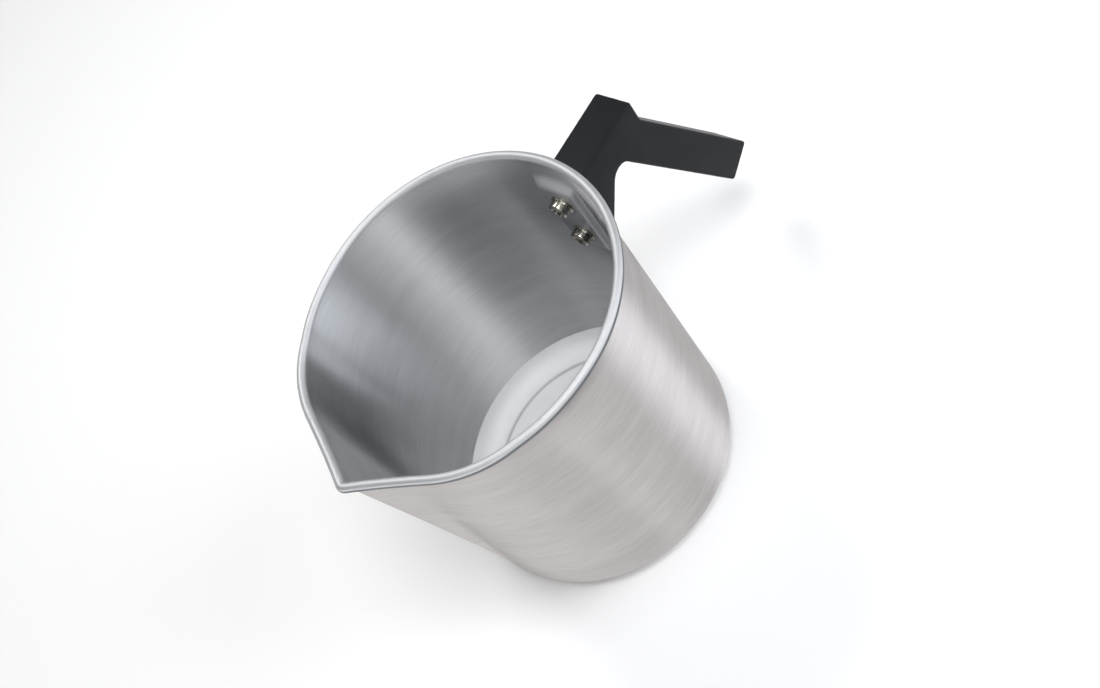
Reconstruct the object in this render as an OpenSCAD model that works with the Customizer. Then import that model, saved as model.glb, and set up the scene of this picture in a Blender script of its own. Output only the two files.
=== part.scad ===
// Wax melting pitcher: a drawn aluminium pot with a pulled spout,
// and a moulded handle on a steel core that is riveted to a flat seat in the wall.
// Millimetres. The pot stands on z = 0, its spout points to -X and its handle to +X.

/* [Pot] */
// Height over the rim
pot_h = 148; // [130:1:180]
// Outside radius of the wall at the rim
rim_r = 66; // [62:0.5:72]
// How much narrower the wall is at the table than at the rim
wall_taper = 2; // [1:0.5:4]
// Thickness of the drawn sheet
sheet_t = 1; // [0.8:0.1:1.4]
// Outside radius of the corner between wall and base
corner_r = 10; // [6:0.5:11]
// Diameter of the bead rolled round the rim
bead_d = 4; // [3.4:0.1:4.6]
// Distance from the wall to the raised middle of the base
foot_in = 15; // [14:0.5:24]
// Height by which the middle of the base is raised
foot_rise = 1.6; // [1:0.1:3]
// Width of the slope round the raised middle
foot_slope = 2; // [1.5:0.1:4]

/* [Spout] */
// How far the bead at the spout's tip stands out past the wall at the rim
spout_out = 17.7; // [15.5:0.1:22]
// Radius of the bead's outer edge at the spout's tip
spout_tip_r = 4.8; // [4.6:0.1:6]
// Distance by which the throat of the spout is pulled forward
throat_pull = 9.4; // [8:0.1:11]
// How much smaller the throat's radius is than the rim's
throat_less = 4.7; // [4.2:0.1:5.2]
// Height at which the spout starts to leave the wall
spout_z = 12; // [12:0.5:30]
// How late the spout flares on its way up, where 1 is a straight run
spout_flare = 1.05; // [1:0.05:1.6]

/* [Handle seat] */
// Depth of the flat of the seat below the wall at the rim
seat_in = 3.5; // [2.8:0.1:4.5]
// Width of the flat of the seat
seat_w = 17.5; // [16.6:0.1:18.4]
// Height of the flat of the seat
seat_h = 41; // [40:0.5:43]
// Distance from the top of the rim down to the middle of the seat
seat_drop = 36.5; // [35:0.5:38]
// Run of the seat's sides for each millimetre of its depth
seat_side_run = 0.9; // [0.6:0.1:1.2]
// Run of the seat's top and bottom for each millimetre of its depth
seat_end_run = 1.5; // [1.2:0.1:1.8]

/* [Rivets] */
// Distance between the two rivets
rivet_gap = 22; // [20:0.5:23]
// Diameter of the shank
rivet_d = 5; // [4:0.1:5.6]
// Diameter of the head behind the core
rivet_head_d = 9; // [8:0.1:10]
// Thickness of the head behind the core
rivet_head_t = 2.2; // [1.6:0.1:2.6]
// Diameter of the end that is closed inside the pot
rivet_end_d = 8.4; // [7.6:0.1:9]
// Length of the end that is closed inside the pot
rivet_end_t = 3.4; // [2.6:0.1:4]
// Bevel round the head and the closed end
rivet_bevel = 0.7; // [0.4:0.1:0.9]
// Width of the rim round the dish in the closed end
dish_rim = 1.5; // [1.2:0.1:2]
// Depth of the dish in the closed end
dish_t = 1.2; // [0.6:0.1:1.6]
// Diameter of the washer under the closed end
washer_d = 10.4; // [10:0.1:11]
// Thickness of the washer
washer_t = 0.8; // [0.6:0.1:1.2]

/* [Handle] */
// Width of the moulding from side to side
handle_w = 18; // [17:0.5:22]
// Distance from the top of the rim down to the arm's top
arm_down = 15.6; // [12:0.1:16.5]
// Length of the arm from the wall at the rim to its outer end
arm_l = 42.6; // [38:0.1:48]
// Depth of the arm's upright outer end
arm_drop = 12.5; // [9:0.5:15]
// Thickness of the grip across its lean
grip_t = 17.8; // [16:0.1:20]
// Lean of the grip away from the upright
grip_lean = 29; // [22:0.5:34]
// Length of the grip along its outer side
grip_l = 84; // [70:1:105]
// Slope of the underside of the arm
arm_slope = 52; // [46:0.5:56]
// Height of the arm where it meets the pot
arm_root_h = 41.4; // [40.4:0.1:44.4]
// Radius of the crook that the forefinger sits in
crook_r = 6; // [4:0.5:8]
// Rounding of the moulding's edges
edge_r = 1.2; // [0.6:0.1:1.6]

/* [Handle core] */
// Thickness of the steel strip
core_t = 3; // [2:0.1:3.4]
// Width of the strip inside the moulding
core_w = 12; // [9:0.5:13]
// Height of the core's flange on the seat
flange_h = 36; // [34:0.5:37]
// Width of the core's flange on the seat
flange_w = 13; // [12:0.5:13.5]
// Height of the strip's root over the middle of the seat
core_rise = 2; // [0:0.5:4]
// Distance outward from the crook to the strip's bend
bend_out = 5.6; // [5:0.1:6.4]
// Further height of the strip's bend over the crook
bend_up = 2.2; // [1.6:0.1:2.6]
// Length of strip inside the grip
core_leg = 58; // [40:1:66]

/* [Fits] */
// Clearance of each rivet in its holes, on the diameter
rivet_fit = 0.3; // [0.2:0.05:0.5]
// Gap between the moulding and the pot's wall and seat
wall_gap = 0.3; // [0.2:0.05:0.6]
// Gap round the core inside the moulding
core_gap = 0.1; // [0.05:0.05:0.2]

/* [Hidden] */
$fn = 80;
corner_fn = 24;
bead_fn = 16;
edge_fn = 16;
// Number of steps in which the spout is lofted, and the thickness of one level's plate
levels = 5;
plate_t = 0.01;
// How far the loft stays inside the round wall, and where it starts behind it
skin = 0.05;
spout_sink = 0.3;
// How far the bead stands past the inside of the wall
bead_lap = 0.1;
// How far cuts run past the faces they open
over = 1;
reach = 6;
// How far the handle's outline runs into the pot before it is cut to the wall
root_in = 12;
// How far the strip's root goes into the flange
core_sink = 0.5;

rim_z = pot_h - bead_d / 2;
base_r = rim_r - wall_taper;
foot_r = base_r - foot_in;
lean = atan(wall_taper / rim_z);
corner_x = base_r + corner_r * tan(lean) - corner_r / cos(lean);

// The bead's centre line, measured outward from the wall's outer face
bead_out = bead_d / 2 - sheet_t - bead_lap;
spout_reach = rim_r + spout_out;
throat_r = rim_r - throat_less;
tip_r = spout_tip_r - bead_d / 2 - bead_out;
tip_x = spout_reach - spout_tip_r;
rim_turn = acos(throat_less / throat_pull);
tip_turn = acos((throat_r - tip_r) / (tip_x - throat_pull));

seat_x = rim_r - seat_in;
seat_z = pot_h - seat_drop;
seat_floor_x = seat_x - sheet_t;
rivet_zs = [seat_z + rivet_gap / 2, seat_z - rivet_gap / 2];
core_x = seat_x + core_t;
rivet_hole_d = rivet_d + rivet_fit;

arm_z = pot_h - arm_down;
arm_low_z = arm_z - arm_root_h;
arm_reach = rim_r + arm_l;
// The grip's inner and outer lines lie on either side of its lean
grip_dir = [sin(grip_lean), -cos(grip_lean)];
grip_out = [cos(grip_lean), sin(grip_lean)];
grip_top = [arm_reach, arm_z - arm_drop];
grip_end = grip_top + grip_l * grip_dir;
grip_inner_end = grip_end - grip_t * grip_out;
// Where the underside of the arm would meet the grip's inner line
arm_low = [rim_r, arm_low_z];
arm_dir = [cos(arm_slope), sin(arm_slope)];
crook_run = cross(grip_inner_end - arm_low, grip_dir) / cross(arm_dir, grip_dir);
crook = arm_low + crook_run * arm_dir;
core_bend = crook + bend_out * grip_out + [0, bend_up];

function wall_r(z) = base_r + wall_taper * z / rim_z;
function level_z(t) = spout_z + (rim_z - spout_z) * t;
function flare(t) = pow(t, spout_flare);
// How much a pressed slope widens for each millimetre that it is moved off itself
function slope_grow(run) = sqrt(1 + run * run) - run;
// Stops along one arc of the bead: centre, radius of the wall and direction
function arc_stops(pull, r, from, to) =
    let (n = ceil((to - from) * $fn / 360))
    [for (k = [0 : n]) [pull, r, from + (to - from) * k / n]];
// A point on the bead's round section at one stop
function bead_point(s, turn) =
    let (r = s[1] + bead_out + bead_d / 2 * cos(turn))
    [r * cos(s[2]) - s[0], r * sin(s[2]), rim_z + bead_d / 2 * sin(turn)];

// A side outline drawn on X and Z, given a thickness along Y
module across(w) {
    rotate([90, 0, 0]) linear_extrude(w, center = true) children();
}

// Half of the pot's upright section, drawn in by the given inset
module half_section(inset) {
    r = corner_r - inset;
    shift = inset / cos(lean);
    top_z = rim_z + (inset > 0 ? over : 0);
    difference() {
        union() {
            translate([corner_x, corner_r]) circle(r, $fn = corner_fn);
            polygon([
                [0, inset], [corner_x, inset],
                [corner_x + r * cos(lean), corner_r - r * sin(lean)],
                [wall_r(top_z) - shift, top_z], [0, top_z]
            ]);
        }
        polygon([
            [-over, -over], [foot_r, -over], [foot_r, inset],
            [foot_r - foot_slope, foot_rise + inset], [-over, foot_rise + inset]
        ]);
        translate([-2 * rim_r, -over]) square([2 * rim_r, pot_h + 2 * over]);
    }
}

// A thin round plate at one level of the loft, its centre pulled towards the spout
module plate(pull, r, z) {
    translate([-pull, 0, z]) cylinder(r = r, h = plate_t);
}

// One level of the throat's swell, with the round pot kept just inside its own wall
module throat_level(t, inset) {
    z = level_z(t);
    r = wall_r(z) - inset - skin;
    plate(0, r, z);
    plate(throat_pull * flare(t), r - throat_less * flare(t), z);
}

// One level of the spout: its tip, and the throat from which its flat sides come
module spout_level(t, inset) {
    z = level_z(t);
    low_x = wall_r(spout_z) - tip_r - spout_sink;
    r = tip_r - inset;
    plate(low_x + (tip_x - low_x) * flare(t), r, z);
    plate(low_x + (throat_pull - low_x) * flare(t), r + (throat_r - tip_r) * flare(t), z);
}

// The spout, lofted level by level up to the rim, where the inside goes on past it
module spout_loft(inset) {
    for (k = [1 : levels]) {
        hull() {
            throat_level((k - 1) / levels, inset);
            throat_level(k / levels, inset);
        }
        hull() {
            spout_level((k - 1) / levels, inset);
            spout_level(k / levels, inset);
        }
    }
    if (inset > 0) for (part = [0, 1]) hull() for (up = [0, over]) translate([0, 0, up]) {
        if (part == 0) throat_level(1, inset);
        else spout_level(1, inset);
    }
}

// The pressed seat: a flat with sloping sides and longer slopes at top and bottom
module seat_press(grow) {
    depth = rim_r - seat_x + reach;
    x0 = seat_x - grow;
    half_w = seat_w / 2 + grow * slope_grow(seat_side_run);
    half_h = seat_h / 2 + grow * slope_grow(seat_end_run);
    intersection() {
        translate([0, 0, seat_z]) linear_extrude(3 * seat_h, center = true) polygon([
            [x0, -half_w], [x0, half_w],
            [x0 + depth, half_w + depth * seat_side_run],
            [x0 + depth, -half_w - depth * seat_side_run]
        ]);
        across(4 * seat_w) polygon([
            [x0, seat_z - half_h], [x0, seat_z + half_h],
            [x0 + depth, seat_z + half_h + depth * seat_end_run],
            [x0 + depth, seat_z - half_h - depth * seat_end_run]
        ]);
    }
}

// The pot's outside (no inset) or its inside (inset by the sheet)
module pot_space(inset) {
    difference() {
        union() {
            rotate_extrude() half_section(inset);
            spout_loft(inset);
        }
        seat_press(inset);
    }
}

// The rolled bead, swept along the rim, the throat and the tip in one closed line
module rim_bead() {
    stops = concat(
        arc_stops(0, rim_r, rim_turn - 180, 180 - rim_turn),
        arc_stops(throat_pull, throat_r, 180 - rim_turn, 180 - tip_turn),
        arc_stops(tip_x, tip_r, 180 - tip_turn, 180 + tip_turn),
        arc_stops(throat_pull, throat_r, 180 + tip_turn, 180 + rim_turn)
    );
    n = len(stops);
    points = [for (s = stops, b = [0 : bead_fn - 1]) bead_point(s, 360 * b / bead_fn)];
    faces = [for (i = [0 : n - 1], b = [0 : bead_fn - 1]) [
        i * bead_fn + b,
        i * bead_fn + (b + 1) % bead_fn,
        (i + 1) % n * bead_fn + (b + 1) % bead_fn,
        (i + 1) % n * bead_fn + b
    ]];
    polyhedron(points, faces);
}

// A round bar along X at one rivet's height
module rivet_bar(d, x0, x1, z) {
    translate([x0, 0, z]) rotate([0, 90, 0]) cylinder(d = d, h = x1 - x0);
}

module pot_body() {
    color("silver") union() {
        difference() {
            pot_space(0);
            pot_space(sheet_t);
            for (z = rivet_zs) rivet_bar(rivet_hole_d, seat_x - reach, seat_x + reach, z);
        }
        rim_bead();
    }
}

// Side outline of the moulding, with the forefinger's crook rounded
module handle_outline() {
    offset(r = -crook_r) offset(delta = crook_r) polygon([
        arm_low - root_in * arm_dir, crook, grip_inner_end, grip_end, grip_top,
        [arm_reach, arm_z], [arm_low[0] - root_in * arm_dir[0], arm_z]
    ]);
}

// The flange on the seat and the strip that runs through arm and grip
module core_shape(gap) {
    root = [core_x - core_sink, seat_z + core_rise];
    run = core_bend - root;
    t = core_t + 2 * gap;
    flange_full = flange_w + 2 * gap;
    translate([seat_x, -flange_full / 2, seat_z - flange_h / 2 - gap])
        cube([core_t + gap, flange_full, flange_h + 2 * gap]);
    across(core_w + 2 * gap) {
        translate(root) rotate(atan2(run[1], run[0]))
            translate([0, -t / 2]) square([norm(run), t]);
        translate(core_bend) circle(d = t);
        translate(core_bend) rotate(grip_lean - 90)
            translate([0, -t / 2]) square([core_leg + gap, t]);
    }
}

module handle() {
    color([0.16, 0.16, 0.17]) difference() {
        minkowski() {
            across(handle_w - 2 * edge_r) offset(delta = -edge_r) handle_outline();
            sphere(edge_r, $fn = edge_fn);
        }
        difference() {
            cylinder(r1 = base_r + wall_gap, r2 = wall_r(pot_h) + wall_gap, h = pot_h);
            seat_press(-wall_gap);
        }
        core_shape(core_gap);
        for (z = rivet_zs)
            rivet_bar(rivet_head_d + rivet_fit, seat_x, core_x + rivet_head_t + core_gap, z);
    }
}

module handle_core() {
    color("slategray") difference() {
        core_shape(0);
        for (z = rivet_zs) rivet_bar(rivet_hole_d, seat_x - over, core_x + over, z);
    }
}

// Shank and outer head, with the end closed and dished inside the pot
module rivet(z) {
    end_x = seat_floor_x - washer_t;
    tail_x = end_x - rivet_end_t;
    head_x = core_x + rivet_head_t;
    end_r = rivet_end_d / 2;
    head_r = rivet_head_d / 2;
    dish_r = end_r - dish_rim;
    color("lightgray") translate([0, 0, z]) rotate([0, 90, 0]) rotate_extrude() difference() {
        polygon([
            [0, tail_x], [end_r - rivet_bevel, tail_x], [end_r, tail_x + rivet_bevel],
            [end_r, end_x], [rivet_d / 2, end_x], [rivet_d / 2, core_x], [head_r, core_x],
            [head_r, head_x - rivet_bevel], [head_r - rivet_bevel, head_x], [0, head_x]
        ]);
        polygon([
            [-over, tail_x - over], [dish_r, tail_x - over], [dish_r, tail_x],
            [dish_r - dish_t / 2, tail_x + dish_t], [-over, tail_x + dish_t]
        ]);
    }
}

module washer(z) {
    color("gainsboro") difference() {
        rivet_bar(washer_d, seat_floor_x - washer_t, seat_floor_x, z);
        rivet_bar(rivet_hole_d, seat_floor_x - washer_t - over, seat_floor_x + over, z);
    }
}

module rivet_upper() { rivet(rivet_zs[0]); }

module rivet_lower() { rivet(rivet_zs[1]); }

module washer_upper() { washer(rivet_zs[0]); }

module washer_lower() { washer(rivet_zs[1]); }

pot_body();
handle();
handle_core();
rivet_upper();
rivet_lower();
washer_upper();
washer_lower();
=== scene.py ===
import math

import bpy
import numpy as np
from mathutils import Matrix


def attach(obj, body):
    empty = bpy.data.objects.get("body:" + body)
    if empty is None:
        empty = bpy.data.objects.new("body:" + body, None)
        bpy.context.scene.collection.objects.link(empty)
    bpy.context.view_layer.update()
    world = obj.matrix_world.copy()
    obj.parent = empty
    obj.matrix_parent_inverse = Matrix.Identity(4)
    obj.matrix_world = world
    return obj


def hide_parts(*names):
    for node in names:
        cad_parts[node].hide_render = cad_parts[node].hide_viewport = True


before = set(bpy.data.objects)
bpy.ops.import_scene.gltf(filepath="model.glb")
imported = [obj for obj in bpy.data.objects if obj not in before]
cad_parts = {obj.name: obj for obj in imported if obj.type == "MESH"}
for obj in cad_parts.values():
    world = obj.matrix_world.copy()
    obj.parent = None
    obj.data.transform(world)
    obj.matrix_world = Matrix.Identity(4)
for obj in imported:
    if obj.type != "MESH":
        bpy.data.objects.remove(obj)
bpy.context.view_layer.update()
scene = bpy.context.scene
scene.view_settings.view_transform = "Standard"
mm = 0.001
print("frame loaded:", ", ".join(sorted(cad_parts)))


# sRGB hex to the linear colour that the shaders take
def hexColour(text):
    srgb = np.array([int(text[i:i + 2], 16) for i in (1, 3, 5)]) / 255
    linear = np.where(srgb <= 0.04045, srgb / 12.92, ((srgb + 0.055) / 1.055) ** 2.4)
    return (*linear.tolist(), 1.0)


# One node with its settings, its values and its links
def addNode(tree, kind, inputs=None, **settings):
    node = tree.nodes.new(kind)
    for key, value in settings.items():
        setattr(node, key, value)
    for key, value in (inputs or {}).items():
        if isinstance(value, bpy.types.NodeSocket):
            tree.links.new(value, node.inputs[key])
        else:
            node.inputs[key].default_value = value
    return node


def newMaterial(name):
    material = bpy.data.materials.new(name)
    material.use_nodes = True
    material.node_tree.nodes.clear()
    return material, material.node_tree


# A closed mesh from vertices and faces, turned outwards if its volume comes out negative.
# Edges that bend by more than the sharp angle, in degrees, are shaded as edges.
def newPiece(name, verts, faces, materials, sharp):
    mesh = bpy.data.meshes.new(name)
    mesh.from_pydata(verts.tolist(), [], faces)
    mesh.update()
    mesh.calc_loop_triangles()
    tris = np.empty(len(mesh.loop_triangles) * 3, dtype=np.int32)
    mesh.loop_triangles.foreach_get("vertices", tris)
    a, b, c = verts[tris.reshape(-1, 3)].transpose(1, 0, 2)
    if np.einsum("ij,ij->i", a, np.cross(b, c)).sum() < 0:
        mesh.flip_normals()
    for material in materials:
        mesh.materials.append(material)
    mesh.polygons.foreach_set("use_smooth", np.ones(len(mesh.polygons), dtype=bool))
    mesh.set_sharp_from_angle(angle=math.radians(sharp))
    piece = bpy.data.objects.new(name, mesh)
    scene.collection.objects.link(piece)
    return piece


# Quads between neighbouring rows of a grid that closes on itself round each row
def ringQuads(rowCount, around):
    row = np.arange(rowCount - 1)[:, None] * around
    here = np.arange(around)[None, :]
    after = (here + 1) % around
    quads = np.stack([row + here, row + after, row + around + after, row + around + here], axis=-1)
    return quads.reshape(-1, 4)


# Lower and upper blends of two surfaces that round the crease between them over a width k
def softMin(a, b, k):
    return np.minimum(a, b) - np.maximum(k - np.abs(a - b), 0) ** 2 / (4 * k)


def softMax(a, b, k):
    return -softMin(-a, -b, k)


# Brushed aluminium: fine scratches run round the pot, so light smears across them into upright bands
def brushedAluminium(name, look):
    material, tree = newMaterial(name)
    place = addNode(tree, "ShaderNodeTexCoord")
    split = addNode(tree, "ShaderNodeSeparateXYZ", {0: place.outputs["Object"]})
    profile = addNode(tree, "ShaderNodeAttribute", attribute_name="profile")
    lay = addNode(tree, "ShaderNodeCombineXYZ", {
        "X": split.outputs["X"], "Y": split.outputs["Y"], "Z": profile.outputs["Fac"]})
    long, wide = look["scratchLength"] * mm, look["scratchWidth"] * mm
    fine = addNode(tree, "ShaderNodeMapping", {
        "Vector": lay.outputs[0], "Scale": (1 / long, 1 / long, 1 / wide)})
    scratch = addNode(tree, "ShaderNodeTexNoise", {
        "Vector": fine.outputs[0], "Scale": 1.0, "Detail": 4.0, "Roughness": 0.65})
    bandLong, bandWide = look["bandLength"] * mm, look["bandWidth"] * mm
    coarse = addNode(tree, "ShaderNodeMapping", {
        "Vector": lay.outputs[0], "Location": (3.1, 1.7, 5.3),
        "Scale": (1 / bandLong, 1 / bandLong, 1 / bandWide)})
    band = addNode(tree, "ShaderNodeTexNoise", {
        "Vector": coarse.outputs[0], "Scale": 1.0, "Detail": 2.0, "Roughness": 0.5})
    both = addNode(tree, "ShaderNodeMix", {
        "Factor": look["bandShare"], 2: scratch.outputs["Fac"], 3: band.outputs["Fac"]}, data_type="FLOAT")
    spread = addNode(tree, "ShaderNodeMapRange", {
        "Value": both.outputs[0], "From Min": 0.3, "From Max": 0.7})
    tint = addNode(tree, "ShaderNodeMix", {
        "Factor": spread.outputs[0], 6: hexColour(look["dark"]), 7: hexColour(look["light"])},
        data_type="RGBA")
    rough = addNode(tree, "ShaderNodeMapRange", {
        "Value": spread.outputs[0], "To Min": look["roughness"] + look["roughSpread"],
        "To Max": look["roughness"] - look["roughSpread"]})
    bump = addNode(tree, "ShaderNodeBump", {
        "Height": scratch.outputs["Fac"], "Strength": look["bump"], "Distance": look["scratchDepth"] * mm})
    tangent = addNode(tree, "ShaderNodeTangent", direction_type="UV_MAP", uv_map="brush")
    shader = addNode(tree, "ShaderNodeBsdfPrincipled", {
        "Base Color": tint.outputs[2], "Metallic": look["metallic"], "Roughness": rough.outputs[0],
        "Anisotropic": look["anisotropic"], "Normal": bump.outputs[0], "Tangent": tangent.outputs[0]})
    addNode(tree, "ShaderNodeOutputMaterial", {"Surface": shader.outputs[0]})
    return material


# Everything the pot's sheet is pressed and rolled to, in millimetres and degrees
pot = {
    "height": 148, "rimR": 66, "taper": 2, "sheet": 1, "cornerR": 10,
    "beadD": 4, "beadLap": 0.1, "beadRows": 18, "crownFrom": 35,
    "footR": 49, "footRise": 1.6, "footSlope": 2, "footSoften": 0.4, "ringR": 50.6, "footFlatR": 53.6,
    "spoutReach": 83.7, "spoutTipR": 4.8, "throatPull": 9.4, "throatLess": 4.7,
    "spoutZ": 12, "spoutFlare": 1.05, "spoutSink": 0.3, "spoutSoften": 1.6,
    "rimSink": 3.3, "sinkFrom": 60, "swell": 2.2, "swellTo": 88,
    "seatX": 62.5, "seatW": 17.5, "seatH": 41, "seatZ": 111.5, "seatSideRun": 0.9, "seatEndRun": 1.5,
    "seatSoften": 1.0, "seatEdge": 0.8,
    "around": 448, "crowding": 0.4, "fineFrom": 82, "coarseRows": 19, "fineRows": 42,
}
# Scratches and the broader bands among them, in millimetres
potOutsideLook = {
    "dark": "#ADA9A8", "light": "#CCC8C7", "metallic": 1.0,
    "roughness": 0.4, "roughSpread": 0.03, "anisotropic": 1.0,
    "scratchLength": 12, "scratchWidth": 0.28, "scratchDepth": 0.006, "bump": 0.15,
    "bandLength": 60, "bandWidth": 9.0, "bandShare": 0.25,
}
potInsideLook = {
    "dark": "#BCBDBF", "light": "#D3D4D6", "metallic": 1.0,
    "roughness": 0.4, "roughSpread": 0.03, "anisotropic": 1.0,
    "scratchLength": 16, "scratchWidth": 0.34, "scratchDepth": 0.005, "bump": 0.12,
    "bandLength": 50, "bandWidth": 9.0, "bandShare": 0.3,
}

# places in the pot's list of materials
outsideFinish, crownFinish, insideFinish, bottomFinish, flankShadeFinish = range(5)

rimZ = pot["height"] - pot["beadD"] / 2
baseR = pot["rimR"] - pot["taper"]
leanAngle = math.atan(pot["taper"] / rimZ)
cornerX = baseR + pot["cornerR"] * math.tan(leanAngle) - pot["cornerR"] / math.cos(leanAngle)
beadR = pot["beadD"] / 2
beadOut = beadR - pot["sheet"] - pot["beadLap"]


def wallR(z):
    return baseR + pot["taper"] * z / rimZ


# Distance from the axis, along each direction, to the edge of the hull of two circles on the -X line.
# Each circle is (how far it is pulled, its radius), and turn is where the common tangent touches them.
def hullReach(angle, first, second, turn):
    towards = np.cos(angle)
    side = np.abs(np.sin(angle))
    reach = np.zeros(np.broadcast(angle, first[0]).shape)
    for pull, radius in (first, second):
        along = -pull * towards
        room = along ** 2 - pull ** 2 + radius ** 2
        reach = np.maximum(reach, np.where(room > 0, along + np.sqrt(np.maximum(room, 0)), 0))
    facing = -math.cos(turn) * towards + math.sin(turn) * side
    line = (math.cos(turn) * first[0] + first[1]) / np.maximum(facing, 1e-6)
    slide = line * (-math.sin(turn) * towards - math.cos(turn) * side)
    low = np.minimum(first[0], second[0]) * math.sin(turn)
    high = np.maximum(first[0], second[0]) * math.sin(turn)
    between = (facing > 0.05) & (slide >= low) & (slide <= high)
    return np.maximum(reach, np.where(between, line, 0))


# The outside of the wall at each height: round pot and swelling throat, with the spout grown out of both
def wallReach(angle, z):
    tipR = pot["spoutTipR"] - beadR - beadOut
    tipX = pot["spoutReach"] - pot["spoutTipR"]
    throatR = pot["rimR"] - pot["throatLess"]
    up = np.clip((z - pot["spoutZ"]) / (rimZ - pot["spoutZ"]), 0, 1) ** pot["spoutFlare"]
    throatTurn = math.acos(pot["throatLess"] / pot["throatPull"])
    tipTurn = math.acos((throatR - tipR) / (tipX - pot["throatPull"]))
    body = hullReach(angle, (0 * up, wallR(z)), (pot["throatPull"] * up, wallR(z) - pot["throatLess"] * up),
                     throatTurn)
    lowX = wallR(pot["spoutZ"]) - tipR - pot["spoutSink"]
    beak = hullReach(angle, (lowX + (pot["throatPull"] - lowX) * up, tipR + (throatR - tipR) * up),
                     (lowX + (tipX - lowX) * up, tipR + 0 * up), tipTurn)
    # the crease beside the spout is soft halfway up and sharp at the rim and at the foot
    soften = 0.05 + pot["spoutSoften"] * np.clip(up * 4, 0, 1) * np.clip((1 - up) * 6, 0, 1)
    return softMax(body, beak, soften)


# The handle's seat, pressed flat into the round wall, seen as a limit on x for each y and z
def pressSeat(points, grow):
    # how much wider the foot of a slope lies for each millimetre that the surface moves in
    widen = [math.sqrt(1 + run * run) - run for run in (pot["seatSideRun"], pot["seatEndRun"])]
    sideways = np.abs(points[..., 1]) - pot["seatW"] / 2 - grow * widen[0]
    upwards = np.abs(points[..., 2] - pot["seatZ"]) - pot["seatH"] / 2 - grow * widen[1]
    slope = np.maximum(sideways / pot["seatSideRun"], upwards / pot["seatEndRun"])
    limit = pot["seatX"] - grow + softMax(slope, 0 * slope, pot["seatEdge"])
    pressed = softMin(points[..., 0], limit, pot["seatSoften"])
    points[..., 0] = np.where(points[..., 0] > 0, pressed, points[..., 0])
    return points


# Rows of the sheet's section, each carried round the pot: base, corner, wall, bead, and back down inside
def potRows():
    turn = np.arange(pot["around"]) / pot["around"] * 2 * math.pi
    angle = (turn - pot["crowding"] * np.sin(2 * turn))[None, :]  # closer columns at spout and seat
    ray = np.stack([np.cos(angle), np.sin(angle), 0 * angle], axis=-1)
    upright = np.array([0.0, 0.0, 1.0])

    def roundRows(radius, z):
        return np.asarray(radius)[:, None, None] * ray + np.asarray(z)[:, None, None] * upright

    def wallRows(z):
        z = np.asarray(z)[:, None]
        return wallReach(angle, z)[..., None] * ray + z[..., None] * upright

    def outward(rows):
        along = np.roll(rows, -1, axis=1) - np.roll(rows, 1, axis=1)
        normal = np.stack([along[..., 1], -along[..., 0], 0 * along[..., 0]], axis=-1)
        return normal / np.linalg.norm(normal, axis=-1, keepdims=True)

    # pulling the spout makes the rim sink towards it and the wall swell on both sides of it
    fromSpout = np.abs(angle - math.pi)
    sink = pot["rimSink"] * np.cos(fromSpout / 2)
    swell = pot["swell"] * np.sin(math.pi * np.minimum(fromSpout / math.radians(pot["swellTo"]), 1)) ** 2

    def pulled(rows, normal):
        share = np.clip((rows[..., 2] - pot["sinkFrom"]) / (rimZ - pot["sinkFrom"]), 0, 1)
        share = (share * share * (3 - 2 * share))[..., None]
        return rows + share * (swell[..., None] * normal - sink[..., None] * upright)

    # the raised middle of the base, with its step at the given radius
    def baseRows(edgeR, lift):
        slope, soften = pot["footSlope"], pot["footSoften"]
        radii = np.concatenate([[3, 16, 30, 40, 45], np.linspace(edgeR - slope - 0.5, edgeR + 0.5, 9),
                                [edgeR + 2, pot["footFlatR"]]])
        step = np.clip((edgeR + soften - radii) / (slope + 2 * soften), 0, 1)
        return roundRows(radii, lift + pot["footRise"] * step * step * (3 - 2 * step))

    sheet = pot["sheet"]
    corner = np.linspace(-math.pi / 2, -leanAngle, 11)
    cornerTop = pot["cornerR"] * (1 - math.sin(leanAngle))
    beadLow = -math.acos(-beadOut / beadR)
    wallTop = rimZ + beadR * math.sin(beadLow)
    wallZs = np.concatenate([np.linspace(cornerTop, pot["fineFrom"], pot["coarseRows"])[1:],
                             np.linspace(pot["fineFrom"], wallTop, pot["fineRows"])[1:]])
    beadTurns = np.linspace(beadLow, math.pi, pot["beadRows"])[1:]
    rim = wallRows([rimZ])
    rimOut = outward(rim)
    bead = np.concatenate([
        rim + (beadOut + beadR * math.cos(b)) * rimOut + beadR * math.sin(b) * upright for b in beadTurns])
    innerZs = np.concatenate([[rimZ - 0.8, rimZ - 1.6], wallZs[::-1]])
    innerWall = wallRows(innerZs)
    lap = np.array([0.9, 0.4] + [0.0] * len(wallZs)) * pot["beadLap"]  # eases the curled edge into the wall
    innerOut = outward(innerWall)
    innerWall = innerWall - (sheet + lap)[:, None, None] * innerOut
    outerWall = wallRows(wallZs)
    rows = [
        baseRows(pot["footR"], 0),
        roundRows(cornerX + pot["cornerR"] * np.cos(corner), pot["cornerR"] * (1 + np.sin(corner))),
        pressSeat(pulled(outerWall, outward(outerWall)), 0),
        pulled(bead, rimOut),
        pressSeat(pulled(innerWall, innerOut), sheet),
        roundRows(cornerX + (pot["cornerR"] - sheet) * np.cos(corner[::-1]),
                  pot["cornerR"] + (pot["cornerR"] - sheet) * np.sin(corner[::-1])),
        baseRows(pot["ringR"], sheet)[::-1],
    ]
    finishes = [np.full(len(part), finish) for part, finish in zip(rows, [
        outsideFinish, outsideFinish, outsideFinish, crownFinish, insideFinish, bottomFinish, bottomFinish])]
    # the bead's lower turns take the darker copy, painted shade for the bead's underside
    finishes[3][beadTurns < math.radians(pot["crownFrom"])] = flankShadeFinish
    finishes[5][:2] = insideFinish  # the brush reaches just into the corner
    return np.concatenate(rows), np.concatenate(finishes)


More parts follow.
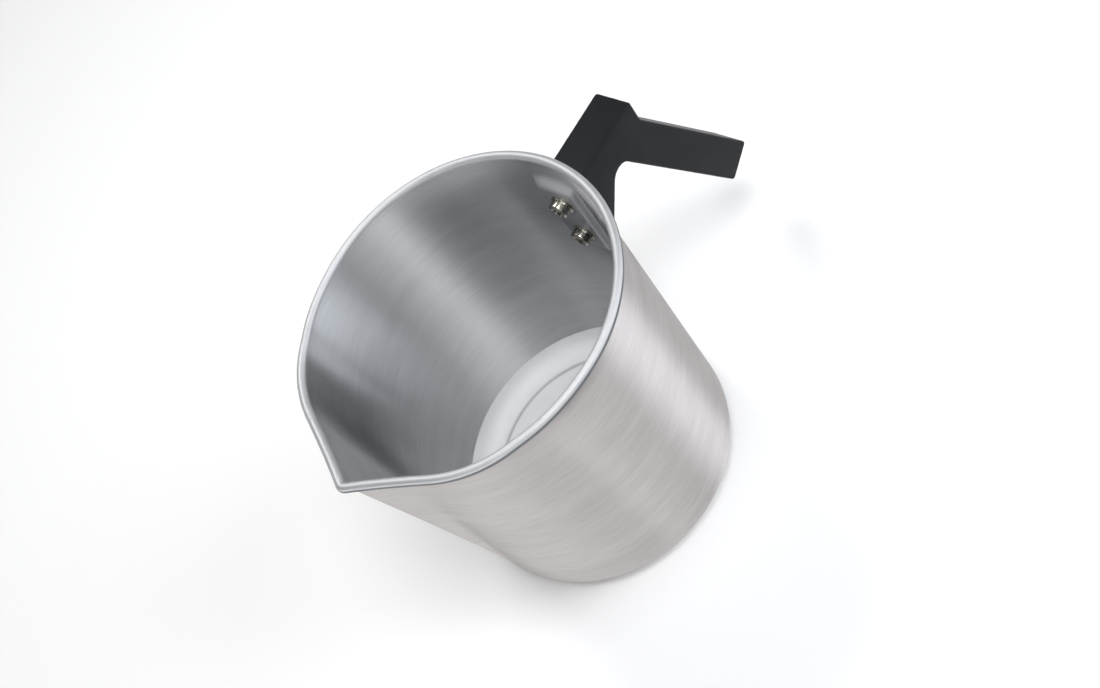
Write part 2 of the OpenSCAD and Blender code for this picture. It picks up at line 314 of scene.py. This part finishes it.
def makePot(materials):
    rows, finish = potRows()
    rowCount, around = rows.shape[:2]
    poles = np.array([[0, 0, pot["footRise"]], [0, 0, pot["footRise"] + pot["sheet"]]])
    verts = np.concatenate([rows.reshape(-1, 3), poles]) * mm
    quads = ringQuads(rowCount, around)
    here = np.arange(around)
    after = (here + 1) % around
    last = (rowCount - 1) * around
    underFan = np.stack([np.full(around, len(verts) - 2), after, here], axis=-1)
    insideFan = np.stack([np.full(around, len(verts) - 1), last + here, last + after], axis=-1)
    faces = quads.tolist() + underFan.tolist() + insideFan.tolist()
    piece = newPiece("potBody", verts, faces, materials, 50)
    mesh = piece.data
    slots = np.concatenate([np.repeat(finish[1:], around), np.full(around, outsideFinish),
                            np.full(around, bottomFinish)])
    mesh.polygons.foreach_set("material_index", slots.astype(np.int32))
    # how far along the section each row lies, so that scratches follow the sheet
    run = np.linalg.norm(np.diff(rows[:, around // 4], axis=0), axis=-1)
    along = np.concatenate([[0], np.cumsum(run)]) * mm
    profile = np.concatenate([np.repeat(along, around), [along[0], along[-1]]])
    mesh.attributes.new("profile", "FLOAT", "POINT").data.foreach_set("value", profile.astype(np.float32))
    # U runs up the section and V round the pot, with the last column closed at 1
    corners = np.empty(len(mesh.loops), dtype=np.int32)
    mesh.loops.foreach_get("vertex_index", corners)
    column = np.where(corners < rowCount * around, corners % around, 0) / around
    starts = np.empty(len(mesh.polygons), dtype=np.int32)
    sizes = np.empty(len(mesh.polygons), dtype=np.int32)
    mesh.polygons.foreach_get("loop_start", starts)
    mesh.polygons.foreach_get("loop_total", sizes)
    highest = np.repeat(np.maximum.reduceat(column, starts), sizes)
    column = np.where((highest > 0.9) & (column < 0.1), column + 1, column)
    brush = np.stack([profile[corners] / along[-1], column], axis=-1)
    mesh.uv_layers.new(name="brush").data.foreach_set("uv", brush.ravel().astype(np.float32))
    return piece


# Rolled edge: crown and flank are one metal in two tones; the flank's darker tone is painted shade for the
# bead's underside
def rolledBead(name, look):
    material, tree = newMaterial(name)
    place = addNode(tree, "ShaderNodeTexCoord")
    spots = addNode(tree, "ShaderNodeTexNoise", {
        "Vector": place.outputs["Object"], "Scale": 1 / (look["spot"] * mm), "Detail": 2.0})
    tint = addNode(tree, "ShaderNodeMix", {
        "Factor": spots.outputs["Fac"], 6: hexColour(look["dark"]), 7: hexColour(look["light"])},
        data_type="RGBA")
    rough = addNode(tree, "ShaderNodeMapRange", {
        "Value": spots.outputs["Fac"], "To Min": look["roughness"] - look["roughSpread"],
        "To Max": look["roughness"] + look["roughSpread"]})
    shader = addNode(tree, "ShaderNodeBsdfPrincipled", {
        "Base Color": tint.outputs[2], "Metallic": 1.0, "Roughness": rough.outputs[0]})
    addNode(tree, "ShaderNodeOutputMaterial", {"Surface": shader.outputs[0]})
    return material


# Bottom: left unbrushed, with a near-white tone that is painted light and a grey line of painted shade along
# the step
def satinBottom(look):
    material, tree = newMaterial("satinAluminiumBottom")
    place = addNode(tree, "ShaderNodeTexCoord")
    cloud = addNode(tree, "ShaderNodeTexNoise", {
        "Vector": place.outputs["Object"], "Scale": 1 / (look["cloud"] * mm), "Detail": 3.0})
    tint = addNode(tree, "ShaderNodeMix", {
        "Factor": cloud.outputs["Fac"], 6: hexColour(look["dark"]), 7: hexColour(look["light"])},
        data_type="RGBA")
    # painted shade: the grey line darkens the bottom along the crease of the step
    flat = addNode(tree, "ShaderNodeVectorMath", {
        0: place.outputs["Object"], 1: (1, 1, 0)}, operation="MULTIPLY")
    radius = addNode(tree, "ShaderNodeVectorMath", {0: flat.outputs[0]}, operation="LENGTH")
    off = addNode(tree, "ShaderNodeMath", {
        0: radius.outputs["Value"], 1: look["stepShadeR"] * mm}, operation="SUBTRACT")
    off = addNode(tree, "ShaderNodeMath", {0: off.outputs[0]}, operation="ABSOLUTE")
    clear = addNode(tree, "ShaderNodeMapRange", {
        "Value": off.outputs[0], "From Max": look["stepShadeHalf"] * mm}, interpolation_type="SMOOTHSTEP")
    stepShaded = addNode(tree, "ShaderNodeMix", {
        "Factor": clear.outputs[0], 6: hexColour(look["line"]), 7: tint.outputs[2]}, data_type="RGBA")
    grit = addNode(tree, "ShaderNodeTexNoise", {
        "Vector": place.outputs["Object"], "Scale": 1 / (look["grit"] * mm), "Detail": 2.0})
    bump = addNode(tree, "ShaderNodeBump", {
        "Height": grit.outputs["Fac"], "Strength": look["bump"], "Distance": look["gritDepth"] * mm})
    rough = addNode(tree, "ShaderNodeMapRange", {
        "Value": cloud.outputs["Fac"], "To Min": look["roughness"] - look["roughSpread"],
        "To Max": look["roughness"] + look["roughSpread"]})
    shader = addNode(tree, "ShaderNodeBsdfPrincipled", {
        "Base Color": stepShaded.outputs[2], "Metallic": look["metallic"], "Roughness": rough.outputs[0],
        "Normal": bump.outputs[0]})
    addNode(tree, "ShaderNodeOutputMaterial", {"Surface": shader.outputs[0]})
    return material


crownLook = {"dark": "#B6B7B9", "light": "#C6C7C9", "roughness": 0.6, "roughSpread": 0.05, "spot": 6}
# the flank's dark tones are painted shade for the bead's underside
flankShadeLook = {"dark": "#6A6C6F", "light": "#787A7D", "roughness": 0.5, "roughSpread": 0.05, "spot": 6}
# the near-white tones are painted light, paler than the same sheet on the walls; the line colour is painted
# shade along the step
bottomLook = {
    "dark": "#F0F1F3", "light": "#FAFBFC", "line": "#C4C6C9", "stepShadeR": 50.3, "stepShadeHalf": 2.2,
    "metallic": 0.3, "roughness": 0.75, "roughSpread": 0.05,
    "cloud": 14, "grit": 0.6, "gritDepth": 0.01, "bump": 0.1,
}
potBody = makePot([
    brushedAluminium("brushedAluminiumOutside", potOutsideLook),
    rolledBead("beadCrown", crownLook),
    brushedAluminium("brushedAluminiumInside", potInsideLook),
    satinBottom(bottomLook),
    rolledBead("beadFlankPaintedShade", flankShadeLook),
])
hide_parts("pot_body")
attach(potBody, "root")
print("pot:", len(potBody.data.polygons), "faces")


# Arm and grip in one moulding, drawn from the side on x and z, in millimetres and degrees
handle = {
    "width": 18, "armZ": 132.4, "armReach": 108.6, "armDrop": 12.5, "gripT": 17.8, "gripLean": 29,
    "gripL": 84, "armSlope": 52, "armLowZ": 91, "crookR": 6, "edgeR": 1.2, "wallGap": 0.3,
    "colour": "#1B1C1E", "shine": "#232427", "specular": 0.06,
    "roughness": 0.38, "smoother": 0.06, "rougher": 0.08,
    "grain": 0.5, "grainDepth": 0.02, "bump": 0.35, "bloom": 18,
}


# Corners of a closed outline replaced by arcs of the given radii
def roundCorners(points, radii, steps):
    parts = []
    for i, radius in enumerate(radii):
        here = points[i]
        back = points[i - 1] - here
        ahead = points[(i + 1) % len(points)] - here
        back = back / np.linalg.norm(back)
        ahead = ahead / np.linalg.norm(ahead)
        half = math.acos(np.clip(back @ ahead, -1, 1)) / 2
        middle = (back + ahead) / np.linalg.norm(back + ahead)
        centre = here + middle * radius / math.sin(half)
        start = here + back * radius / math.tan(half) - centre
        stop = here + ahead * radius / math.tan(half) - centre
        first = math.atan2(start[1], start[0])
        sweep = (math.atan2(stop[1], stop[0]) - first + math.pi) % (2 * math.pi) - math.pi
        bend = first + sweep * np.linspace(0, 1, steps)
        parts.append(centre + radius * np.stack([np.cos(bend), np.sin(bend)], axis=-1))
    return parts


# The outline carried across the width, drawn in at both sides by the edge's round, and cut to the wall
def makeHandle(material):
    h = handle
    lean, slope, edge = math.radians(h["gripLean"]), math.radians(h["armSlope"]), h["edgeR"]
    down = np.array([math.sin(lean), -math.cos(lean)])
    out = np.array([math.cos(lean), math.sin(lean)])
    armDir = np.array([math.cos(slope), math.sin(slope)])
    armLow = np.array([pot["rimR"], h["armLowZ"]])
    gripTop = np.array([h["armReach"], h["armZ"] - h["armDrop"]])
    gripEnd = gripTop + h["gripL"] * down
    gripInner = gripEnd - h["gripT"] * out
    far = gripInner - armLow
    run = (far[0] * down[1] - far[1] * down[0]) / (armDir[0] * down[1] - armDir[1] * down[0])
    crook = armLow + run * armDir
    armEnd = np.array([h["armReach"], h["armZ"]])
    rootTop = np.array([pot["rimR"], h["armZ"]])
    corners = np.array([armLow, crook, gripInner, gripEnd, gripTop, armEnd, rootTop])
    bend = edge + 0.3  # so that an arc drawn in by the edge's round stays an arc
    arcs = roundCorners(corners, [0.01, h["crookR"], bend, bend, h["crookR"], bend, 0.01], 9)
    line = np.concatenate(arcs[1:-1])
    ahead = np.concatenate([line[1:], rootTop[None]]) - np.concatenate([armLow[None], line[:-1]])
    inward = np.stack([-ahead[:, 1], ahead[:, 0]], axis=-1)
    inward = inward / np.linalg.norm(inward, axis=-1, keepdims=True)
    roll = np.linspace(0, math.pi / 2, 6)
    flat = h["width"] / 2 - edge
    ys = np.concatenate([-flat - edge * np.cos(roll), np.linspace(-flat, flat, 9)[1:-1],
                         flat + edge * np.cos(roll[::-1])])
    drawn = edge - np.sqrt(np.maximum(edge ** 2 - np.maximum(np.abs(ys) - flat, 0) ** 2, 0))
    loops = line[None] + drawn[:, None, None] * inward[None]
    lowX = np.sqrt((wallR(h["armLowZ"]) + h["wallGap"]) ** 2 - ys ** 2)
    lowZ = armLow[1] + (lowX - armLow[0]) * math.tan(slope) + drawn / math.cos(slope)
    seatX = 0 * ys + pot["seatX"] + h["wallGap"]
    seatLow = 0 * ys + pot["seatZ"] - pot["seatH"] / 2
    root = np.stack([np.stack([seatX, seatLow], axis=-1), np.stack([lowX, lowZ], axis=-1)], axis=1)
    top = np.stack([seatX, h["armZ"] - drawn], axis=-1)[:, None]
    loops = np.concatenate([root, loops, top], axis=1)
    around = loops.shape[1]
    verts = np.stack([loops[..., 0], np.repeat(ys[:, None], around, axis=1), loops[..., 1]], axis=-1)
    verts = verts.reshape(-1, 3) * mm
    caps = [list(range(around)), list(range(len(verts) - 1, len(verts) - around - 1, -1))]
    quads = ringQuads(len(ys), around)[:, ::-1].tolist()
    return newPiece("handle", verts, quads + caps, [material], 35)


# Phenolic moulding: matte black with a grey bloom, from a lightly grained mould
def blackPhenolic(look):
    material, tree = newMaterial("blackPhenolicMoulding")
    place = addNode(tree, "ShaderNodeTexCoord")
    # grit in a mould is nearer 0.1 mm; drawn coarser so that it shows
    grain = addNode(tree, "ShaderNodeTexNoise", {
        "Vector": place.outputs["Object"], "Scale": 1 / (look["grain"] * mm),
        "Detail": 3.0, "Roughness": 0.6})
    bloom = addNode(tree, "ShaderNodeTexNoise", {
        "Vector": place.outputs["Object"], "Scale": 1 / (look["bloom"] * mm), "Detail": 2.0})
    tint = addNode(tree, "ShaderNodeMix", {
        "Factor": bloom.outputs["Fac"], 6: hexColour(look["colour"]), 7: hexColour(look["shine"])},
        data_type="RGBA")
    rough = addNode(tree, "ShaderNodeMapRange", {
        "Value": grain.outputs["Fac"], "From Min": 0.3, "From Max": 0.7,
        "To Min": look["roughness"] - look["smoother"], "To Max": look["roughness"] + look["rougher"]})
    bump = addNode(tree, "ShaderNodeBump", {
        "Height": grain.outputs["Fac"], "Strength": look["bump"], "Distance": look["grainDepth"] * mm})
    shader = addNode(tree, "ShaderNodeBsdfPrincipled", {
        "Base Color": tint.outputs[2], "Roughness": rough.outputs[0], "Specular IOR Level": look["specular"],
        "Normal": bump.outputs[0]})
    addNode(tree, "ShaderNodeOutputMaterial", {"Surface": shader.outputs[0]})
    return material


handleMoulding = makeHandle(blackPhenolic(handle))
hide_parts("handle")
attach(handleMoulding, "root")
print("handle:", len(handleMoulding.data.polygons), "faces")


# Rivets and washers lie on a line along X through the seat, in millimetres
rivet = {
    "gap": 22, "shankD": 5, "headD": 9, "headT": 2.2, "endD": 8.4, "endT": 3.4, "bevel": 0.7,
    "dishRim": 1.5, "dishT": 1.2, "washerD": 10.4, "washerT": 0.8, "washerEdge": 0.2,
    "fit": 0.3, "coreT": 3, "poleR": 0.3, "around": 64, "sharp": 35,
    "dark": "#98958A", "light": "#C9C6BC", "roughness": 0.2, "smoother": 0.05, "rougher": 0.1, "spot": 2.5,
}


# A profile of (x, radius) turned round the rivet's axis at one height
def turnOnX(name, profile, z, material):
    around, sharp = rivet["around"], rivet["sharp"]
    profile = np.array(profile, dtype=float)
    bend = np.arange(around) / around * 2 * math.pi
    x = np.repeat(profile[:, :1], around, axis=1)
    ring = np.stack([x, profile[:, 1:] * np.cos(bend), z + profile[:, 1:] * np.sin(bend)], axis=-1)
    quads = ringQuads(len(profile), around).tolist()
    verts = ring.reshape(-1, 3)
    if np.allclose(profile[0], profile[-1]):  # a closed ring, such as a washer
        verts = verts[:-around]
        quads = (np.array(quads) % len(verts)).tolist()
        return newPiece(name, verts * mm, quads, [material], sharp)
    ends = np.array([[profile[0, 0], 0, z], [profile[-1, 0], 0, z]])
    here = np.arange(around)
    after = (here + 1) % around
    last = len(verts) - around
    fans = np.concatenate([
        np.stack([np.full(around, len(verts)), after, here], axis=-1),
        np.stack([np.full(around, len(verts) + 1), last + here, last + after], axis=-1)]).tolist()
    return newPiece(name, np.concatenate([verts, ends]) * mm, quads + fans, [material], sharp)


# Nickel-plated steel: bright and a little warm, duller in random spots
def nickelPlate(look):
    material, tree = newMaterial("nickelPlatedSteel")
    place = addNode(tree, "ShaderNodeTexCoord")
    spots = addNode(tree, "ShaderNodeTexNoise", {
        "Vector": place.outputs["Object"], "Scale": 1 / (look["spot"] * mm), "Detail": 3.0})
    spread = addNode(tree, "ShaderNodeMapRange", {
        "Value": spots.outputs["Fac"], "From Min": 0.35, "From Max": 0.65})
    tint = addNode(tree, "ShaderNodeMix", {
        "Factor": spread.outputs[0], 6: hexColour(look["dark"]), 7: hexColour(look["light"])},
        data_type="RGBA")
    rough = addNode(tree, "ShaderNodeMapRange", {
        "Value": spread.outputs[0], "To Min": look["roughness"] + look["rougher"],
        "To Max": look["roughness"] - look["smoother"]})
    shader = addNode(tree, "ShaderNodeBsdfPrincipled", {
        "Base Color": tint.outputs[2], "Metallic": 1.0, "Roughness": rough.outputs[0]})
    addNode(tree, "ShaderNodeOutputMaterial", {"Surface": shader.outputs[0]})
    return material


nickel = nickelPlate(rivet)
seatFloorX = pot["seatX"] - pot["sheet"]
coreX = pot["seatX"] + rivet["coreT"]
for name, z in (("upper", pot["seatZ"] + rivet["gap"] / 2), ("lower", pot["seatZ"] - rivet["gap"] / 2)):
    endX = seatFloorX - rivet["washerT"]
    tailX = endX - rivet["endT"]
    headX = coreX + rivet["headT"]
    endR, headR, bevel = rivet["endD"] / 2, rivet["headD"] / 2, rivet["bevel"]
    dishR = endR - rivet["dishRim"]
    nose = np.linspace(0, math.pi / 2, 6)
    # the dish that the punch leaves in the closed end, then its rounded edge, the shank and the outer head
    profile = [(tailX + rivet["dishT"], rivet["poleR"]), (tailX + rivet["dishT"], dishR - 0.6),
               (tailX + 0.3, dishR - 0.1), (tailX, dishR + 0.2)]
    profile += [(tailX + bevel * (1 - math.cos(a)), endR - bevel * (1 - math.sin(a))) for a in nose]
    profile += [(endX, endR), (endX, rivet["shankD"] / 2), (coreX, rivet["shankD"] / 2), (coreX, headR),
                (headX - bevel, headR), (headX, headR - bevel), (headX, rivet["poleR"])]
    pin = turnOnX("rivet." + name, profile, z, nickel)
    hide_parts("rivet_" + name)
    ringR, holeR, soft = rivet["washerD"] / 2, (rivet["shankD"] + rivet["fit"]) / 2, rivet["washerEdge"]
    disc = turnOnX("washer." + name, [
        (seatFloorX, holeR), (endX, holeR), (endX, ringR - soft), (endX + soft, ringR), (seatFloorX, ringR),
        (seatFloorX, holeR)], z, nickel)
    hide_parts("washer_" + name)
    for piece in (pin, disc):
        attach(piece, "root")
print("rivets and washers made")


coreLook = {"dark": "#7E8083", "light": "#A6A8AA", "roughness": 0.42, "lineLength": 20, "lineWidth": 0.6}


# Rolled steel strip: plain grey with drawn lines along it, all of it inside the moulding
def rolledStrip(look):
    material, tree = newMaterial("rolledStripSteel")
    place = addNode(tree, "ShaderNodeTexCoord")
    long, wide = look["lineLength"] * mm, look["lineWidth"] * mm
    stretch = addNode(tree, "ShaderNodeMapping", {
        "Vector": place.outputs["Object"], "Scale": (1 / long, 1 / wide, 1 / long)})
    lines = addNode(tree, "ShaderNodeTexNoise", {"Vector": stretch.outputs[0], "Scale": 1.0, "Detail": 3.0})
    tint = addNode(tree, "ShaderNodeMix", {
        "Factor": lines.outputs["Fac"], 6: hexColour(look["dark"]), 7: hexColour(look["light"])},
        data_type="RGBA")
    shader = addNode(tree, "ShaderNodeBsdfPrincipled", {
        "Base Color": tint.outputs[2], "Metallic": 1.0, "Roughness": look["roughness"]})
    addNode(tree, "ShaderNodeOutputMaterial", {"Surface": shader.outputs[0]})
    return material


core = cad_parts["handle_core"]
core.data.materials.clear()
core.data.materials.append(rolledStrip(coreLook))
print("handle core finished")

# Studio: white floor and walls, a dark ceiling, and soft lamps given by their direction from the pot.
# Angles in degrees, floor and lamps in metres, the height that the lamps aim at in millimetres.
studio = {
    "floorSize": 12, "floorGlow": 0.05, "floorShade": 0.9, "floorBounce": 0.75,
    "wallLight": 1.0, "ceilingLight": 0.05, "wallTop": 14, "ceilingFrom": 26,
    "lampReach": 1.1, "lampAim": 70,
    "lamps": {
        "topSoftbox": {
            "azimuth": 270, "elevation": 76, "width": 0.47, "height": 0.63, "watts": 6.4, "tint": "#FFFFFF"},
        "backSoftbox": {
            "azimuth": 75, "elevation": 56, "width": 0.5, "height": 0.43, "watts": 5.0, "tint": "#FFFFFF"},
        "sideSoftbox": {
            "azimuth": 312, "elevation": 30, "width": 0.67, "height": 0.98, "watts": 6.2, "tint": "#F4F9FF"},
        "frontSoftbox": {
            "azimuth": 248, "elevation": 45, "width": 0.26, "height": 0.26, "watts": 1.1, "tint": "#FFFFFF"},
        "leftStrip": {
            "azimuth": 200, "elevation": 6, "width": 1.85, "height": 0.23, "watts": 4.2, "tint": "#FFFFFF"},
    },
}

# Paper: seen directly or in metal it is white with the pot's shadow, and it bounces a share of the light
floorMaterial, tree = newMaterial("whitePaper")
path = addNode(tree, "ShaderNodeLightPath")
seen = addNode(tree, "ShaderNodeMath", {
    0: path.outputs["Is Camera Ray"], 1: path.outputs["Is Glossy Ray"]}, operation="MAXIMUM")
seen = addNode(tree, "ShaderNodeMath", {
    0: seen.outputs[0], 1: path.outputs["Is Transmission Ray"]}, operation="MAXIMUM")
bounce = addNode(tree, "ShaderNodeBsdfDiffuse", {"Color": (studio["floorBounce"],) * 3 + (1.0,)})
shade = addNode(tree, "ShaderNodeBsdfDiffuse", {"Color": (studio["floorShade"],) * 3 + (1.0,)})
glow = addNode(tree, "ShaderNodeEmission", {"Color": (1, 1, 1, 1), "Strength": studio["floorGlow"]})
paper = addNode(tree, "ShaderNodeAddShader", {0: glow.outputs[0], 1: shade.outputs[0]})
mix = addNode(tree, "ShaderNodeMixShader", {0: seen.outputs[0], 1: bounce.outputs[0], 2: paper.outputs[0]})
addNode(tree, "ShaderNodeOutputMaterial", {"Surface": mix.outputs[0]})
half = studio["floorSize"] / 2
floorMesh = bpy.data.meshes.new("floor")
floorCorners = [(-half, -half, 0), (half, -half, 0), (half, half, 0), (-half, half, 0)]
floorMesh.from_pydata(floorCorners, [], [(0, 1, 2, 3)])
floorMesh.materials.append(floorMaterial)
floor = bpy.data.objects.new("floor", floorMesh)
scene.collection.objects.link(floor)

world = bpy.data.worlds.new("studioWhite")
scene.world = world
world.use_nodes = True
tree = world.node_tree
tree.nodes.clear()
place = addNode(tree, "ShaderNodeTexCoord")
split = addNode(tree, "ShaderNodeSeparateXYZ", {0: place.outputs["Generated"]})
level = addNode(tree, "ShaderNodeMapRange", {
    "Value": split.outputs["Z"], "From Min": math.sin(math.radians(studio["wallTop"])),
    "From Max": math.sin(math.radians(studio["ceilingFrom"])),
    "To Min": studio["wallLight"], "To Max": studio["ceilingLight"]}, interpolation_type="SMOOTHSTEP")
sky = addNode(tree, "ShaderNodeBackground", {"Color": (1, 1, 1, 1), "Strength": level.outputs[0]})
addNode(tree, "ShaderNodeOutputWorld", {"Surface": sky.outputs[0]})

for name, lamp in studio["lamps"].items():
    light = bpy.data.lights.new(name, "AREA")
    light.shape = "ELLIPSE"
    light.size = lamp["width"]
    light.size_y = lamp["height"]
    light.energy = lamp["watts"]
    light.color = hexColour(lamp["tint"])[:3]
    holder = bpy.data.objects.new(name, light)
    scene.collection.objects.link(holder)
    azimuth, elevation = math.radians(lamp["azimuth"]), math.radians(lamp["elevation"])
    away = np.array([math.cos(elevation) * math.cos(azimuth), math.cos(elevation) * math.sin(azimuth),
                     math.sin(elevation)])
    holder.location = away * studio["lampReach"] + np.array([0, 0, studio["lampAim"] * mm])
    holder.rotation_euler = (math.pi / 2 - elevation, 0, azimuth + math.pi / 2)
    holder.visible_camera = False
print("studio set")

# Camera where the photograph was taken from, tipped so that the pot leans to the left.
# Eye, lens and sensor in millimetres, turn in degrees, shift in widths of the picture.
view = {"eye": (-111.75, -354.80, 561.29), "turn": (30.031, 24.971, -55.134), "lens": 47.715,
        "sensor": 36, "shift": (0.0136, 0.0062), "near": 10}
camera = bpy.data.cameras.new("photoCamera")
camera.sensor_fit = "HORIZONTAL"
camera.sensor_width = view["sensor"]
camera.lens = view["lens"]
camera.shift_x, camera.shift_y = view["shift"]
camera.clip_start = view["near"] * mm
cameraHolder = bpy.data.objects.new("photoCamera", camera)
cameraHolder.location = np.array(view["eye"]) * mm
cameraHolder.rotation_euler = [math.radians(a) for a in view["turn"]]
scene.collection.objects.link(cameraHolder)
scene.camera = cameraHolder
print("camera set")
